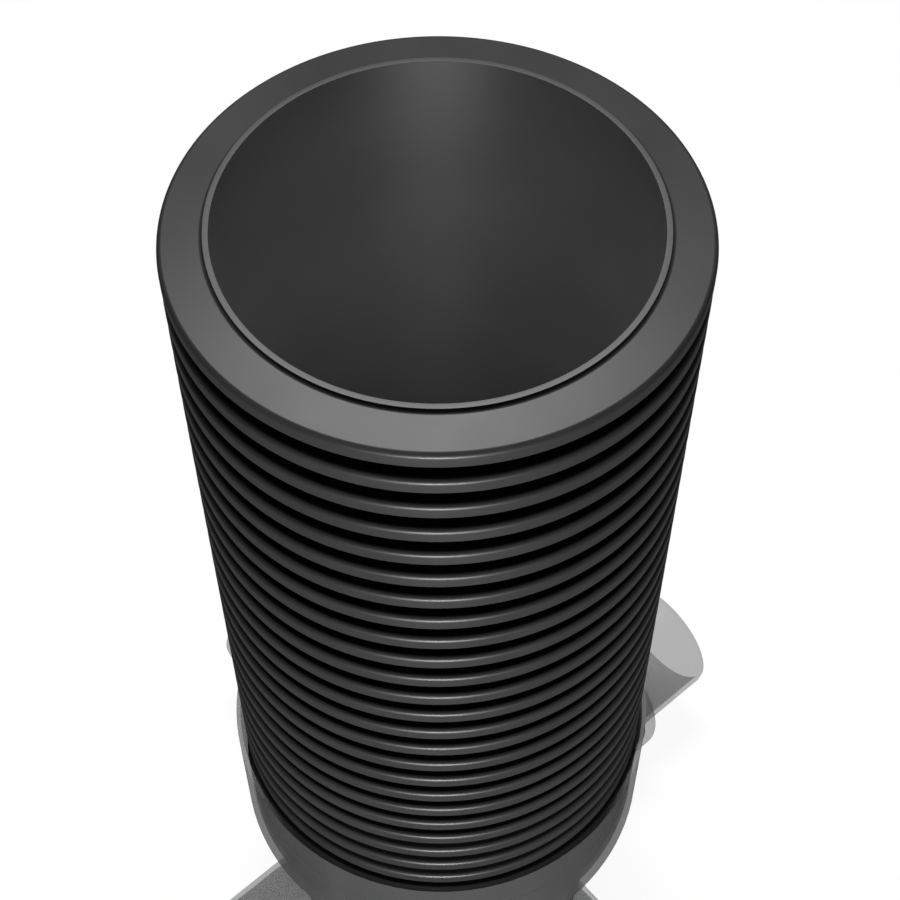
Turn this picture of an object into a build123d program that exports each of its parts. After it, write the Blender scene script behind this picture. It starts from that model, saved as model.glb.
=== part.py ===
from build123d import *

import os

# Drain inspection chamber: a ribbed riser pipe that stands in a moulded base with a flow channel.
# The origin is on the riser's axis, at the ground. +Z is up, +X points to the inlet, -X to the outlet,
# and the two side branches lie along Y. All sizes are in millimetres.

# Riser pipe
riser_diameter = 315.0
riser_bore = 255.4
liner_wall = 3.7
rib_pitch = 23.7
rib_crest = 10.3
rib_count = 28
flank_rise = 3.2
liner_proud = 2.4
liner_tail = 6.5
rim_round = 3.5
valley_round = 2.4

# Socket of the base, where the riser stands
socket_clearance = 2.0
socket_wall = 4.6
socket_depth = 99.0
seat_height = 191.7
seat_thickness = 6.4
mouth_lead = 1.4

# Lower body, benching and the webs under it
body_bore = 252.0
body_wall = 4.6
floor_wall = 4.6
bench_above_axis = 54.0
bench_rise = 8.0
web_thickness = 4.0
sweep_radius = 92.0

# Pipe connections
pipe_axis_height = 75.0
main_diameter = 110.0
main_wall = 3.8
main_reach = 278.6
side_diameter = 90.0
side_wall = 3.4
side_reach = 261.0
end_chamfer_length = 5.0
end_chamfer_depth = 1.3
main_land = 75.0
side_land = 65.0
spigot_draft = 0.6

# Inlet socket with its seal bead
inlet_clearance = 0.5
inlet_socket_wall = 3.8
inlet_stop = 141.0
inlet_mouth = 205.0
bead_length = 46.0
bead_wall = 4.6
bead_round = 9.0
groove_width = 16.0
groove_depth = 9.2
groove_from_mouth = 14.0
stub_taper = 0.6
stub_land_gap = 1.5

# Seals
seal_side_gap = 0.3
seal_body_height = 5.0
seal_lip_land = 2.0
ribs_below_seal_count = 2
riser_seal_foot = 7.0
riser_seal_land = 6.0

# Values worked out from the sizes above
riser_radius = riser_diameter / 2
bore_radius = riser_bore / 2
liner_radius = bore_radius + liner_wall
rib_depth = riser_radius - liner_radius
rib_gap = rib_pitch - rib_crest
first_rib = seat_height + liner_tail
rim_height = first_rib + (rib_count - 1) * rib_pitch + rib_crest
top_valley = rim_height + flank_rise
riser_top = top_valley + liner_proud
socket_radius = riser_radius + socket_clearance
socket_top = seat_height + socket_depth
body_inside = body_bore / 2
body_radius = body_inside + body_wall
pipe_root = body_inside - body_wall
main_bore = main_diameter / 2 - main_wall
side_bore = side_diameter / 2 - side_wall
inlet_bore = main_diameter / 2 + inlet_clearance
inlet_outer = inlet_bore + inlet_socket_wall
groove_radius = inlet_bore + groove_depth
bead_radius = groove_radius + bead_wall
groove_end = inlet_mouth - groove_from_mouth
groove_start = groove_end - groove_width
stub_land_start = inlet_mouth + stub_land_gap
stub_taper_end = inlet_stop + end_chamfer_length
bench_edge = pipe_axis_height + bench_above_axis
bench_wall = bench_edge + bench_rise

# How far a cutting shape runs past the face that it opens
past = 10.0


def turned(points, about=Axis.Z):
    """A closed outline of (radius, height) about Z, or of (distance, radius) about X."""
    return revolve(Plane.XZ * make_face(Polyline(*points, close=True)), axis=about)


def heading(angle, shape):
    """Turns what was made along +X about the riser's axis and lifts it to the pipes' height."""
    return Pos(0, 0, pipe_axis_height) * Rot(0, 0, angle) * shape


def bar(radius, start, end):
    """A round bar along X from start to end."""
    return turned([(start, 0), (end, 0), (end, radius), (start, radius)], Axis.X)


def groove_half_width(radius):
    """Half the width of a riser groove at a radius: its flanks climb from the crests to the liner."""
    return rib_gap / 2 - flank_rise * (riser_radius - radius) / rib_depth


def riser_shaft():
    """The extruded riser: a smooth liner with flat-crested ribs, cut along a valley at each end."""
    outline = [(bore_radius, seat_height), (liner_radius, seat_height)]
    for rib in range(rib_count):
        crest_start = first_rib + rib * rib_pitch
        crest_end = crest_start + rib_crest
        outline += [
            (liner_radius, crest_start - flank_rise),
            (riser_radius, crest_start),
            (riser_radius, crest_end),
            (liner_radius, crest_end + flank_rise),
        ]
    outline += [(liner_radius, riser_top), (bore_radius, riser_top)]
    section = make_face(Polyline(*outline, close=True))
    rim = section.vertices().sort_by_distance((riser_radius, rim_height))[0]
    section = fillet(rim, rim_round)
    valley = section.vertices().sort_by_distance((liner_radius, top_valley))[0]
    section = fillet(valley, min(valley_round, liner_proud))
    return revolve(Plane.XZ * section, axis=Axis.Z)


def riser_seal():
    """The rubber ring wedged in a groove near the riser's foot, with a land against the socket."""
    middle = first_rib + ribs_below_seal_count * rib_pitch - rib_gap / 2
    foot_radius = liner_radius + riser_seal_foot
    half_foot = groove_half_width(foot_radius)
    half_head = rib_gap / 2
    half_land = riser_seal_land / 2
    return turned(
        [
            (foot_radius, middle - half_foot),
            (riser_radius, middle - half_head),
            (socket_radius, middle - half_land),
            (socket_radius, middle + half_land),
            (riser_radius, middle + half_head),
            (foot_radius, middle + half_foot),
        ]
    )


def spigot(diameter, reach, land):
    """A solid pipe end along +X: a drafted root in the body wall, then a true land and a chamfered tip."""
    radius = diameter / 2
    return turned(
        [
            (pipe_root, 0),
            (reach, 0),
            (reach, radius - end_chamfer_depth),
            (reach - end_chamfer_length, radius),
            (reach - land, radius),
            (pipe_root, radius + spigot_draft),
        ],
        Axis.X,
    )


def inlet_socket():
    """The outside of the inlet socket along +X, solid, with the round-shouldered seal bead."""
    bead_start = inlet_mouth - bead_length
    inner_round = bead_start + bead_round
    outer_round = inlet_mouth - bead_round
    low = bead_radius - bead_round
    outline = (
        Polyline(
            (pipe_root, inlet_outer),
            (pipe_root, 0),
            (inlet_mouth, 0),
            (inlet_mouth, low),
        )
        + RadiusArc((inlet_mouth, low), (outer_round, bead_radius), -bead_round)
        + Line((outer_round, bead_radius), (inner_round, bead_radius))
        + RadiusArc((inner_round, bead_radius), (bead_start, low), -bead_round)
        + Polyline((bead_start, low), (bead_start, inlet_outer), (pipe_root, inlet_outer))
    )
    return revolve(Plane.XZ * make_face(outline), axis=Axis.X)


def inlet_hollow():
    """What the inlet socket holds open: the pipe's seat, its mouth chamfer and the seal groove."""
    hollow = bar(inlet_bore, inlet_stop, inlet_mouth + past)
    mouth = turned(
        [
            (inlet_mouth - mouth_lead, 0),
            (inlet_mouth, 0),
            (inlet_mouth, inlet_bore + mouth_lead),
            (inlet_mouth - mouth_lead, inlet_bore),
        ],
        Axis.X,
    )
    return hollow + mouth + bar(groove_radius, groove_start, groove_end)


def swept_channel(radius, side):
    """A side channel that leaves the body wall straight, then turns downstream into the main channel."""
    start = side * body_radius
    bend = side * sweep_radius
    path = Line((0, start), (0, bend)) + RadiusArc(
        (0, bend), (-sweep_radius, 0), sweep_radius * side
    )
    mouth = Plane((0, start, 0), x_dir=(1, 0, 0), z_dir=(0, -side, 0))
    return sweep(mouth * Circle(radius), path=path)


def channel_form(grow):
    """The flow channels as a solid, round below and straight-walled up past the benching."""
    height = bench_wall - pipe_axis_height + past
    main_radius = main_bore + grow
    side_radius = side_bore + grow
    length = 2 * body_radius
    form = bar(main_radius, -body_radius, body_radius)
    form += Pos(0, 0, height / 2) * Box(length, 2 * main_radius, height)
    for side in (1, -1):
        form += swept_channel(side_radius, side)
        plan = Pos(0, side * (sweep_radius + body_radius) / 2) * Rectangle(
            2 * side_radius, body_radius - sweep_radius
        )
        turn = Pos(-sweep_radius, side * sweep_radius) * (
            Circle(sweep_radius + side_radius) - Circle(sweep_radius - side_radius)
        )
        quarter = Pos(-sweep_radius / 2 + side_radius / 2, side * (sweep_radius - side_radius) / 2)
        quarter *= Rectangle(sweep_radius + side_radius, sweep_radius + side_radius)
        plan += turn & quarter
        form += extrude(plan, height)
    return Pos(0, 0, pipe_axis_height) * form


def benching():
    """The thin moulded floor: sloped benches, the walls of the channels and the webs that carry them."""
    chamber = Pos(0, 0, bench_wall / 2) * Cylinder(body_inside + body_wall / 2, bench_wall)
    under_bench = [(-body_radius, 0), (body_radius, 0), (body_radius, bench_wall), (0, bench_edge)]
    under_bench.append((-body_radius, bench_wall))
    bench_top = [(0, bench_edge), (body_radius, bench_wall), (body_radius, bench_wall - floor_wall)]
    bench_top += [(0, bench_edge - floor_wall), (-body_radius, bench_wall - floor_wall)]
    bench_top.append((-body_radius, bench_wall))

    def across(points):
        """A closed outline of (y, height), carried right through the body along X."""
        return extrude(Plane.YZ * make_face(Polyline(*points, close=True)), body_radius, both=True)

    webs = Part()
    for angle in (0, 45, 90, 135):
        web = Rot(0, 0, angle) * Box(2 * body_radius, web_thickness, bench_wall)
        webs += Pos(0, 0, bench_wall / 2) * web
    floor = across(bench_top) + (across(under_bench) & (channel_form(floor_wall) + webs))
    return (floor & chamber) - channel_form(0)


def chamber_base():
    """The one-piece moulded base: riser socket, body, benching, spigots and inlet socket."""
    socket_outer = socket_radius + socket_wall
    seat_under = seat_height - seat_thickness
    wall = turned(
        [
            (body_inside, 0),
            (body_radius, 0),
            (body_radius, seat_under),
            (socket_outer, seat_under),
            (socket_outer, socket_top),
            (socket_radius + mouth_lead, socket_top),
            (socket_radius, socket_top - mouth_lead),
            (socket_radius, seat_height),
            (body_inside, seat_height),
        ]
    )
    pipes = heading(180, spigot(main_diameter, main_reach, main_land)) + heading(0, inlet_socket())
    bores = heading(0, bar(main_bore, -main_reach - past, inlet_stop) + inlet_hollow())
    for angle in (90, -90):
        pipes += heading(angle, spigot(side_diameter, side_reach, side_land))
        bores += heading(angle, bar(side_bore, pipe_root, side_reach + past))
    clear = Pos(0, 0, seat_height / 2) * Cylinder(body_inside, seat_height)
    return wall + (pipes - clear) + benching() - bores


def stub_radius_at(distance):
    """The outside radius of the stub's tapered inner end, at a distance from the riser's axis."""
    share = (stub_land_start - distance) / (stub_land_start - stub_taper_end)
    return main_diameter / 2 - stub_taper * share


def inlet_stub():
    """The pipe stub in the inlet socket: its inner end tapers, and its free end is a true land."""
    radius = main_diameter / 2
    return heading(
        0,
        turned(
            [
                (inlet_stop, main_bore),
                (main_reach, main_bore),
                (main_reach, radius - end_chamfer_depth),
                (main_reach - end_chamfer_length, radius),
                (stub_land_start, radius),
                (stub_taper_end, radius - stub_taper),
                (inlet_stop, radius - end_chamfer_depth),
            ],
            Axis.X,
        ),
    )


def inlet_seal():
    """The rubber lip ring in the groove of the inlet bead, with its lip against the stub."""
    start = groove_start + seal_side_gap
    end = groove_end - seal_side_gap
    lip_start = start + seal_lip_land
    lip_end = lip_start + seal_lip_land
    inner = groove_radius - seal_body_height
    return heading(
        0,
        turned(
            [
                (start, groove_radius),
                (start, inner),
                (start + seal_body_height, inner),
                (lip_start, stub_radius_at(lip_start)),
                (lip_end, stub_radius_at(lip_end)),
                (end, inner),
                (end, groove_radius),
            ],
            Axis.X,
        ),
    )


pieces = {
    "riser_shaft": riser_shaft(),
    "riser_seal": riser_seal(),
    "chamber_base": chamber_base(),
    "inlet_stub": inlet_stub(),
    "inlet_seal": inlet_seal(),
}

os.makedirs("parts", exist_ok=True)
for name, shape in pieces.items():
    solid = shape.solid()
    solid.label = name
    export_step(solid, f"parts/{name}.step")
    print(name, "volume", round(solid.volume), "solids", len(shape.solids()))
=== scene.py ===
import math

import bpy
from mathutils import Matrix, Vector


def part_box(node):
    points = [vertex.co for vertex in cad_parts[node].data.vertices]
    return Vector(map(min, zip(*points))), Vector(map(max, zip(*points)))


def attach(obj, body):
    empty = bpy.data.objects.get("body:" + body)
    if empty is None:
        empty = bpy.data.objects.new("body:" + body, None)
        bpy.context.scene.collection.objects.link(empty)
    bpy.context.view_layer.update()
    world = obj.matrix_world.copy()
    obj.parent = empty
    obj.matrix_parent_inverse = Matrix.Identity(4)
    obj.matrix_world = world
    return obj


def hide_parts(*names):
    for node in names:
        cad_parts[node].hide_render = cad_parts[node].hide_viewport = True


# Drain inspection chamber: a black ribbed riser in a see-through grey base.
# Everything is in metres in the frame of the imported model: +Z up, +X towards the inlet.

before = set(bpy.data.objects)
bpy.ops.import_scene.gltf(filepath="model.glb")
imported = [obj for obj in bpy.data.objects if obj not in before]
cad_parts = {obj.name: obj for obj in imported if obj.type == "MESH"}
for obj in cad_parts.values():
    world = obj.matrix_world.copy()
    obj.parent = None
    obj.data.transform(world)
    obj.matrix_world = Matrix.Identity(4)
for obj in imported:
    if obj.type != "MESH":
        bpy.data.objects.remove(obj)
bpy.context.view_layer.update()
riser_low, riser_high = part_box("riser_shaft")

# Riser section, as the CAD solid has it
riser_radius = riser_high[0]
riser_foot = riser_low[2]
riser_top = riser_high[2]
bore_radius = 0.1277
liner_wall = 0.0037
rib_pitch = 0.0237
rib_crest = 0.0103
rib_count = 28
flank_rise = 0.0032
liner_tail = 0.0065
rim_round = 0.0035
valley_round = 0.0024
liner_radius = bore_radius + liner_wall
first_rib = riser_foot + liner_tail
rim_height = first_rib + (rib_count - 1) * rib_pitch + rib_crest

# The riser's mesh, and its edges that are rounded in the scene only
under_crest_round = 0.0006
liner_round = 0.0003
round_step = 0.0007
riser_sides = 240
sharp_angle = math.radians(50)
radius_margin = 0.0001

# Where a finish or painted shade begins or ends: the painted shade in the grooves, lighter at their
# edge, and the base's socket
groove_shade = 0.004
shaded_low = 0.37
shaded_high = rim_height - rib_crest
socket_foot = riser_foot - 0.012

# Finishes, with the painted shade of the grooves and the painted light of the bore: a pair is the low
# and the high end of what a pattern or an edge brings
noise_range = (0.3, 0.7)
crest_tones = (0.036, 0.044)
# The bore is painted lighter than the outside: painted light for the light that hardly reaches into it.
bore_painted_light_tones = (0.062, 0.07)
# The grooves are painted shade: black deep down and less dark at the crests' edges.
groove_painted_shade_tones = (0.001, 0.03)
body_tones = (0.17, 0.19)
socket_tones = (0.13, 0.14)
rubber_tones = (0.014, 0.022)
riser_roughness = (0.38, 0.43)
groove_roughness = (1.0, 0.45)
base_roughness = (0.24, 0.3)
rubber_roughness = 0.62
body_opacity = 0.38
socket_opacity = 0.64

# Camera, solved from the photograph's ellipses
camera_place = Vector((-0.4632, -0.5397, 1.6315))
camera_pitch = math.radians(54.539)
camera_azimuth = math.radians(48.8)
camera_lens = 75.0
camera_sensor = 36.0

# Floor and world, with their strength to the camera, in glossy surfaces and for other rays
stage_size = 30.0
floor_drop = 0.0004
floor_tone = 0.16
floor_glow = (0.92, 0.03, 0.0)
world_glow = (1.0, 0.05, 0.02)
clear_bounces = 32

# Lamps: turn and elevation in degrees, then distance, width, height and power in watts.
# Turn 0 is the camera's side and 180 is behind.
riser_middle = Vector((0, 0, 0.6))
bore_middle = Vector((0, 0, 0.73))
bore_deep = Vector((0, 0, 0.44))
lamps = [
    ("back_wide", riser_middle, 184, 67, 2.4, 1.4, 0.4, 28),
    ("back_lower", riser_middle, 184, 56, 2.4, 1.4, 0.4, 6),
    ("back_narrow", riser_middle, 184, 72, 2.4, 0.4, 0.4, 9),
    ("front_low", riser_middle, 0, -12, 2.4, 0.4, 0.4, 68),
    ("bore_fill", bore_middle, 0, 0, 0.115, 0.1, 0.22, 0.33),
    ("bore_deep_fill", bore_deep, 0, 0, 0.115, 0.1, 0.24, 0.05),
]


def rounded(points, radii):
    """Replaces each corner of a closed outline by an arc of its radius, or keeps it where that is 0."""
    result = []
    for here, radius in enumerate(radii):
        corner = Vector(points[here])
        if radius == 0:
            result.append(corner)
            continue
        back = (Vector(points[here - 1]) - corner).normalized()
        ahead = (Vector(points[(here + 1) % len(points)]) - corner).normalized()
        half = back.angle(ahead) / 2
        middle = corner + (back + ahead).normalized() * (radius / math.sin(half))
        start = corner + back * (radius / math.tan(half)) - middle
        end = corner + ahead * (radius / math.tan(half)) - middle
        steps = max(2, round(radius / round_step))
        for step in range(steps + 1):
            result.append(middle + start.slerp(end, step / steps).normalized() * radius)
    return result


def lathe(name, outline, sides):
    """A ring turned about Z from a closed outline of (radius, height), whose outer side goes up."""
    count = len(outline)
    vertices = []
    for side in range(sides):
        angle = 2 * math.pi * side / sides
        vertices += [(r * math.cos(angle), r * math.sin(angle), z) for r, z in outline]
    faces = []
    for side in range(sides):
        near, far = side * count, (side + 1) % sides * count
        for here in range(count):
            ahead = (here + 1) % count
            faces.append((near + here, far + here, far + ahead, near + ahead))
    mesh = bpy.data.meshes.new(name)
    mesh.from_pydata(vertices, [], faces)
    mesh.shade_smooth()
    mesh.set_sharp_from_angle(angle=sharp_angle)
    piece = bpy.data.objects.new(name, mesh)
    bpy.context.collection.objects.link(piece)
    flatten = piece.modifiers.new("flat_faces_stay_flat", "WEIGHTED_NORMAL")
    flatten.keep_sharp = True
    flatten.weight = 100
    return piece


def riser_outline():
    """The riser's section with its moulded edges rounded."""
    corners = [((bore_radius, riser_foot), liner_round), ((liner_radius, riser_foot), liner_round)]
    for rib in range(rib_count):
        crest_start = first_rib + rib * rib_pitch
        crest_end = crest_start + rib_crest
        corners += [
            ((liner_radius, crest_start - flank_rise), 0),
            ((riser_radius, crest_start), under_crest_round),
            ((riser_radius, crest_end), rim_round),
            ((liner_radius, crest_end + flank_rise), valley_round if rib == rib_count - 1 else 0),
        ]
    corners += [((liner_radius, riser_top), liner_round), ((bore_radius, riser_top), liner_round)]
    points = [point for point, radius in corners]
    radii = [radius for point, radius in corners]
    return rounded(points, radii)


def new_material(name):
    """A material with its Principled shader and the object coordinates that its patterns use."""
    material = bpy.data.materials.new(name)
    material.use_nodes = True
    nodes = material.node_tree.nodes
    shader = nodes["Principled BSDF"]
    places = nodes.new("ShaderNodeTexCoord")
    return material, nodes, material.node_tree.links, shader, places.outputs["Object"]


def noise(nodes, links, places, scale, detail, stretch=(1, 1, 1)):
    """A noise value, mostly within noise_range, stretched along the axes."""
    mapping = nodes.new("ShaderNodeMapping")
    mapping.inputs["Scale"].default_value = stretch
    links.new(places, mapping.inputs["Vector"])
    texture = nodes.new("ShaderNodeTexNoise")
    texture.inputs["Scale"].default_value = scale
    texture.inputs["Detail"].default_value = detail
    links.new(mapping.outputs["Vector"], texture.inputs["Vector"])
    return texture.outputs["Fac"]


def spread(nodes, links, value, ends, within=noise_range):
    """Maps a value from the range within to the range ends."""
    node = nodes.new("ShaderNodeMapRange")
    node.inputs["From Min"].default_value = within[0]
    node.inputs["From Max"].default_value = within[1]
    node.inputs["To Min"].default_value = ends[0]
    node.inputs["To Max"].default_value = ends[1]
    links.new(value, node.inputs["Value"])
    return node.outputs["Result"]


def blend(nodes, links, value, tones):
    """A grey between two tones, for a value of 0 to 1."""
    node = nodes.new("ShaderNodeMix")
    node.data_type = "RGBA"
    links.new(value, node.inputs["Factor"])
    node.inputs["A"].default_value = (tones[0], tones[0], tones[0], 1)
    node.inputs["B"].default_value = (tones[1], tones[1], tones[1], 1)
    return node.outputs["Result"]


def bump(nodes, links, shader, value, height, strength):
    """Raises the surface by a value, height metres for each unit of it."""
    node = nodes.new("ShaderNodeBump")
    node.inputs["Distance"].default_value = height
    node.inputs["Strength"].default_value = strength
    links.new(value, node.inputs["Height"])
    links.new(node.outputs["Normal"], shader.inputs["Normal"])


def riser_material(name, tones):
    """Black extruded plastic: fine drawn lines along the pipe and a slightly uneven sheen."""
    material, nodes, links, shader, places = new_material(name)
    cloudy = noise(nodes, links, places, scale=14, detail=4)
    drawn = noise(nodes, links, places, scale=40, detail=2, stretch=(6, 6, 0.15))
    colour = blend(nodes, links, spread(nodes, links, cloudy, (0, 1)), tones)
    links.new(colour, shader.inputs["Base Color"])
    links.new(spread(nodes, links, cloudy, riser_roughness), shader.inputs["Roughness"])
    bump(nodes, links, shader, drawn, height=0.00006, strength=0.35)
    return material


def painted_groove_shade_material():
    """Painted shade down in the grooves: the same plastic, matt and painted black, and less dark
    towards the crests' edges.
    """
    material, nodes, links, shader, places = new_material("riser_groove_painted_shade")
    flat = nodes.new("ShaderNodeVectorMath")
    flat.operation = "MULTIPLY"
    flat.inputs[1].default_value = (1, 1, 0)
    links.new(places, flat.inputs[0])
    radius = nodes.new("ShaderNodeVectorMath")
    radius.operation = "LENGTH"
    links.new(flat.outputs["Vector"], radius.inputs[0])
    shaded = (riser_radius - groove_shade, riser_radius)
    edge = spread(nodes, links, radius.outputs["Value"], (0, 1), shaded)
    links.new(blend(nodes, links, edge, groove_painted_shade_tones), shader.inputs["Base Color"])
    links.new(spread(nodes, links, edge, groove_roughness, (0, 1)), shader.inputs["Roughness"])
    return material


def base_material(name, tones, opacity):
    """See-through grey moulded plastic, slightly uneven in tone and gloss."""
    material, nodes, links, shader, places = new_material(name)
    cloudy = noise(nodes, links, places, scale=9, detail=3)
    colour = blend(nodes, links, spread(nodes, links, cloudy, (0, 1)), tones)
    links.new(colour, shader.inputs["Base Color"])
    links.new(spread(nodes, links, cloudy, base_roughness), shader.inputs["Roughness"])
    shader.inputs["Alpha"].default_value = opacity
    ripple = noise(nodes, links, places, scale=22, detail=2)
    bump(nodes, links, shader, ripple, height=0.0002, strength=0.2)
    return material


def rubber_material():
    """Matt black rubber."""
    material, nodes, links, shader, places = new_material("seal_rubber")
    grain = noise(nodes, links, places, scale=900, detail=2)
    colour = blend(nodes, links, spread(nodes, links, grain, (0, 1)), rubber_tones)
    links.new(colour, shader.inputs["Base Color"])
    shader.inputs["Roughness"].default_value = rubber_roughness
    bump(nodes, links, shader, grain, height=0.0001, strength=0.4)
    return material


def build_riser(outside, inside, groove_painted_shade):
    """The visible riser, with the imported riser's section and rounded edges."""
    riser = lathe("riser_pipe", riser_outline(), riser_sides)
    for material in (outside, inside, groove_painted_shade):
        riser.data.materials.append(material)
    groove_radius = riser_radius - rim_round - radius_margin
    for face in riser.data.polygons:
        radii = [math.hypot(*riser.data.vertices[corner].co.xy) for corner in face.vertices]
        # The bore's faces take the copy of the plastic painted lighter.
        if max(radii) < bore_radius + radius_margin:
            face.material_index = 1
        # Faces down in the grooves take the painted shade.
        elif min(radii) < groove_radius and shaded_low < face.center.z < shaded_high:
            face.material_index = 2
    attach(riser, "root")
    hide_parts("riser_shaft")


def dress(node, material, socket_material=None):
    """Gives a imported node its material, and where it has the riser's socket, that another."""
    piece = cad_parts[node]
    piece.data.materials.clear()
    piece.data.materials.append(material)
    if socket_material:
        piece.data.materials.append(socket_material)
        for face in piece.data.polygons:
            face.material_index = int(face.center.z > socket_foot)


def backdrop_strength(nodes, links, shown, mirrored, plain):
    """A strength: shown to the camera and through clear things, mirrored in glossy ones, else plain."""
    rays = nodes.new("ShaderNodeLightPath")
    seen = nodes.new("ShaderNodeMath")
    seen.operation = "MAXIMUM"
    links.new(rays.outputs["Is Camera Ray"], seen.inputs[0])
    links.new(rays.outputs["Is Transmission Ray"], seen.inputs[1])
    strength = nodes.new("ShaderNodeMapRange")
    strength.inputs["To Max"].default_value = shown
    links.new(seen.outputs["Value"], strength.inputs["Value"])
    gloss = spread(nodes, links, rays.outputs["Is Glossy Ray"], (plain, mirrored), (0, 1))
    links.new(gloss, strength.inputs["To Min"])
    return strength.outputs["Result"]


def build_floor():
    """A plain pale floor that shows white and keeps the object's shadow."""
    half = stage_size / 2
    corners = [(-half, -half), (half, -half), (half, half), (-half, half)]
    mesh = bpy.data.meshes.new("floor")
    mesh.from_pydata([(x, y, -floor_drop) for x, y in corners], [], [(0, 1, 2, 3)])
    floor = bpy.data.objects.new("floor", mesh)
    bpy.context.collection.objects.link(floor)
    material = bpy.data.materials.new("floor_white")
    material.use_nodes = True
    nodes, links = material.node_tree.nodes, material.node_tree.links
    nodes.clear()
    matt = nodes.new("ShaderNodeBsdfDiffuse")
    matt.inputs["Color"].default_value = (floor_tone, floor_tone, floor_tone, 1)
    glow = nodes.new("ShaderNodeEmission")
    links.new(backdrop_strength(nodes, links, *floor_glow), glow.inputs["Strength"])
    both = nodes.new("ShaderNodeAddShader")
    links.new(matt.outputs["BSDF"], both.inputs[0])
    links.new(glow.outputs["Emission"], both.inputs[1])
    output = nodes.new("ShaderNodeOutputMaterial")
    links.new(both.outputs["Shader"], output.inputs["Surface"])
    floor.data.materials.append(material)


def build_world():
    """White to the camera, and a very dim even light for everything else."""
    world = bpy.data.worlds.new("studio")
    bpy.context.scene.world = world
    world.use_nodes = True
    nodes, links = world.node_tree.nodes, world.node_tree.links
    background = nodes["Background"]
    background.inputs["Color"].default_value = (1, 1, 1, 1)
    links.new(backdrop_strength(nodes, links, *world_glow), background.inputs["Strength"])


def build_light(name, target, turn, elevation, distance, width, height, power):
    """A soft rectangular lamp aimed at a point and hidden from the camera."""
    angle = camera_azimuth + math.pi + math.radians(turn)
    rise = math.radians(elevation)
    level = math.cos(rise)
    direction = Vector((math.cos(angle) * level, math.sin(angle) * level, math.sin(rise)))
    data = bpy.data.lights.new(name, "AREA")
    data.shape = "RECTANGLE"
    data.size = width
    data.size_y = height
    data.energy = power
    lamp = bpy.data.objects.new(name, data)
    lamp.location = target + direction * distance
    lamp.rotation_euler = direction.to_track_quat("Z", "Y").to_euler()
    lamp.visible_camera = False
    bpy.context.collection.objects.link(lamp)


def build_camera():
    """The photograph's viewpoint."""
    data = bpy.data.cameras.new("camera")
    data.lens = camera_lens
    data.sensor_width = camera_sensor
    camera = bpy.data.objects.new("camera", data)
    camera.location = camera_place
    camera.rotation_euler = (math.pi / 2 - camera_pitch, 0, camera_azimuth - math.pi / 2)
    bpy.context.collection.objects.link(camera)
    bpy.context.scene.camera = camera


build_camera()
black = riser_material("riser_black", crest_tones)
# The bore's copy of the black plastic is painted lighter, as painted light inside the bore.
liner = riser_material("riser_bore_painted_light", bore_painted_light_tones)
grey = base_material("base_grey", body_tones, body_opacity)
dense_grey = base_material("socket_grey", socket_tones, socket_opacity)
rubber = rubber_material()
build_riser(black, liner, painted_groove_shade_material())
dress("chamber_base", grey, dense_grey)
dress("inlet_stub", grey)
dress("riser_seal", rubber)
dress("inlet_seal", rubber)
build_floor()
build_world()
for lamp in lamps:
    build_light(*lamp)
bpy.context.scene.view_settings.view_transform = "Standard"
bpy.context.scene.cycles.transparent_max_bounces = clear_bounces
